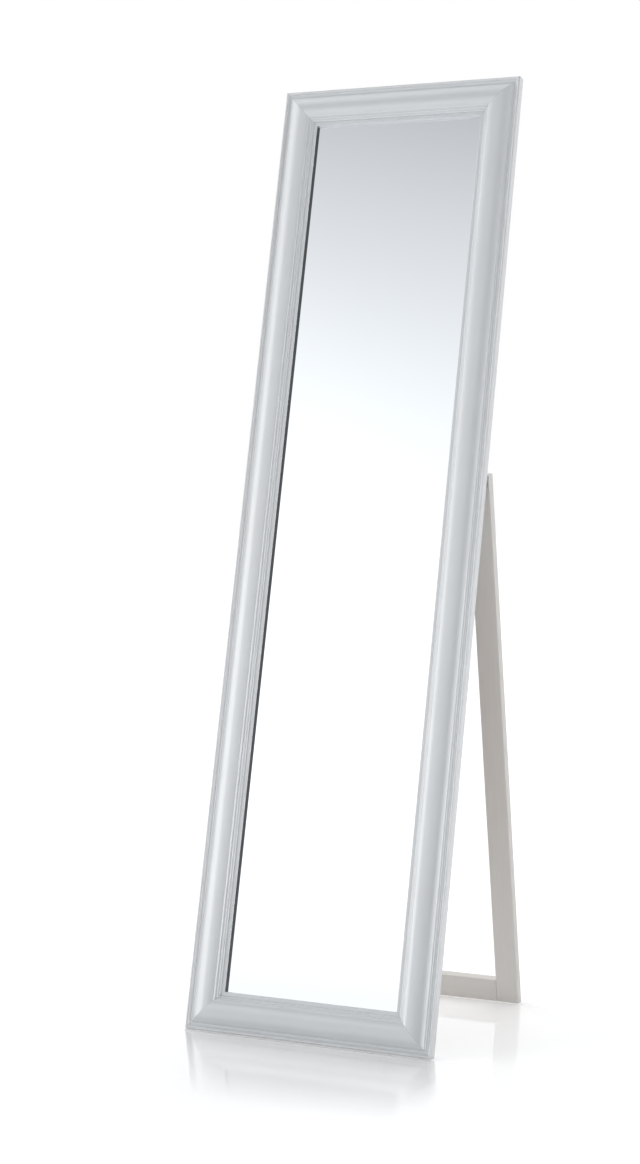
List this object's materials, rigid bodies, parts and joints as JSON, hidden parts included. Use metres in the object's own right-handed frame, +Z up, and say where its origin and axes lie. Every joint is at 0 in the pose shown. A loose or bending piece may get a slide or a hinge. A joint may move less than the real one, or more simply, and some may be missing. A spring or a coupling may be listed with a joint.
{
  "type": "floor mirror",
  "caption": "Tall free-standing mirror in a white moulded frame that leans back on a hinged easel stand.",
  "frame": {"origin": "on the floor, under the centre of the whole object's box, with the stand open", "axes": "+Z up; -Y is the side that the mirror faces; +X is to the right of a person who looks into the mirror"},
  "size_m": [0.4, 0.405, 1.4658],
  "materials": {
    "white_lacquer": "satin white lacquer over wood moulding",
    "white_paint": "matt off-white paint over planed board",
    "beech": "plain beech",
    "mirror_sheet": "silvered float glass",
    "hardboard": "brown hardboard",
    "bright_steel": "bright steel strip",
    "zinc_steel": "zinc-plated steel"
  },
  "bodies": {
    "frame": {"frame_stile_left": "white_lacquer", "frame_stile_right": "white_lacquer", "frame_rail_top": "white_lacquer", "frame_rail_bottom": "white_lacquer", "corner_v_nails": "bright_steel", "mirror_glass": "mirror_sheet", "backing_board": "hardboard", "retaining_points": "bright_steel", "hinge_frame_leaf_left": "zinc_steel", "hinge_frame_leaf_right": "zinc_steel", "hinge_pin_left": "zinc_steel", "hinge_pin_right": "zinc_steel", "hinge_frame_screws": "zinc_steel", "stay_bracket_left": "zinc_steel", "stay_bracket_right": "zinc_steel", "stay_bracket_screws": "zinc_steel", "stay_rivet_left": "zinc_steel", "stay_rivet_right": "zinc_steel"},
    "stand": {"stand_leg_left": "white_paint", "stand_leg_right": "white_paint", "stand_head_rail": "white_paint", "stand_foot_rail": "white_paint", "stand_dowels": "beech", "hinge_stand_leaf_left": "zinc_steel", "hinge_stand_leaf_right": "zinc_steel", "hinge_stand_screws": "zinc_steel", "stay_studs": "zinc_steel", "stay_washers": "zinc_steel"},
    "stay_left": {"stay_bar_left": "zinc_steel"},
    "stay_right": {"stay_bar_right": "zinc_steel"}
  },
  "joints": [
    {"name": "stand_hinge", "type": "hinge", "parent": "frame", "child": "stand", "pos_m": [0, 0.0058, 0.84792], "axis": [-1, 0, 0], "range_deg": [0, 24.3]},
    {"name": "stay_left_pivot", "type": "hinge", "parent": "frame", "child": "stay_left", "pos_m": [-0.1612, -0.00143, 0.78807], "axis": [-1, 0, 0], "range_deg": [0, 33.14]},
    {"name": "stay_right_pivot", "type": "hinge", "parent": "frame", "child": "stay_right", "pos_m": [0.1612, -0.00143, 0.78807], "axis": [-1, 0, 0], "range_deg": [0, 33.14]}
  ],
  "couplings": [
    {"joint": "stay_left_pivot", "follows": "stand_hinge", "ratio": 1.3636},
    {"joint": "stay_right_pivot", "follows": "stand_hinge", "ratio": 1.3636}
  ]
}
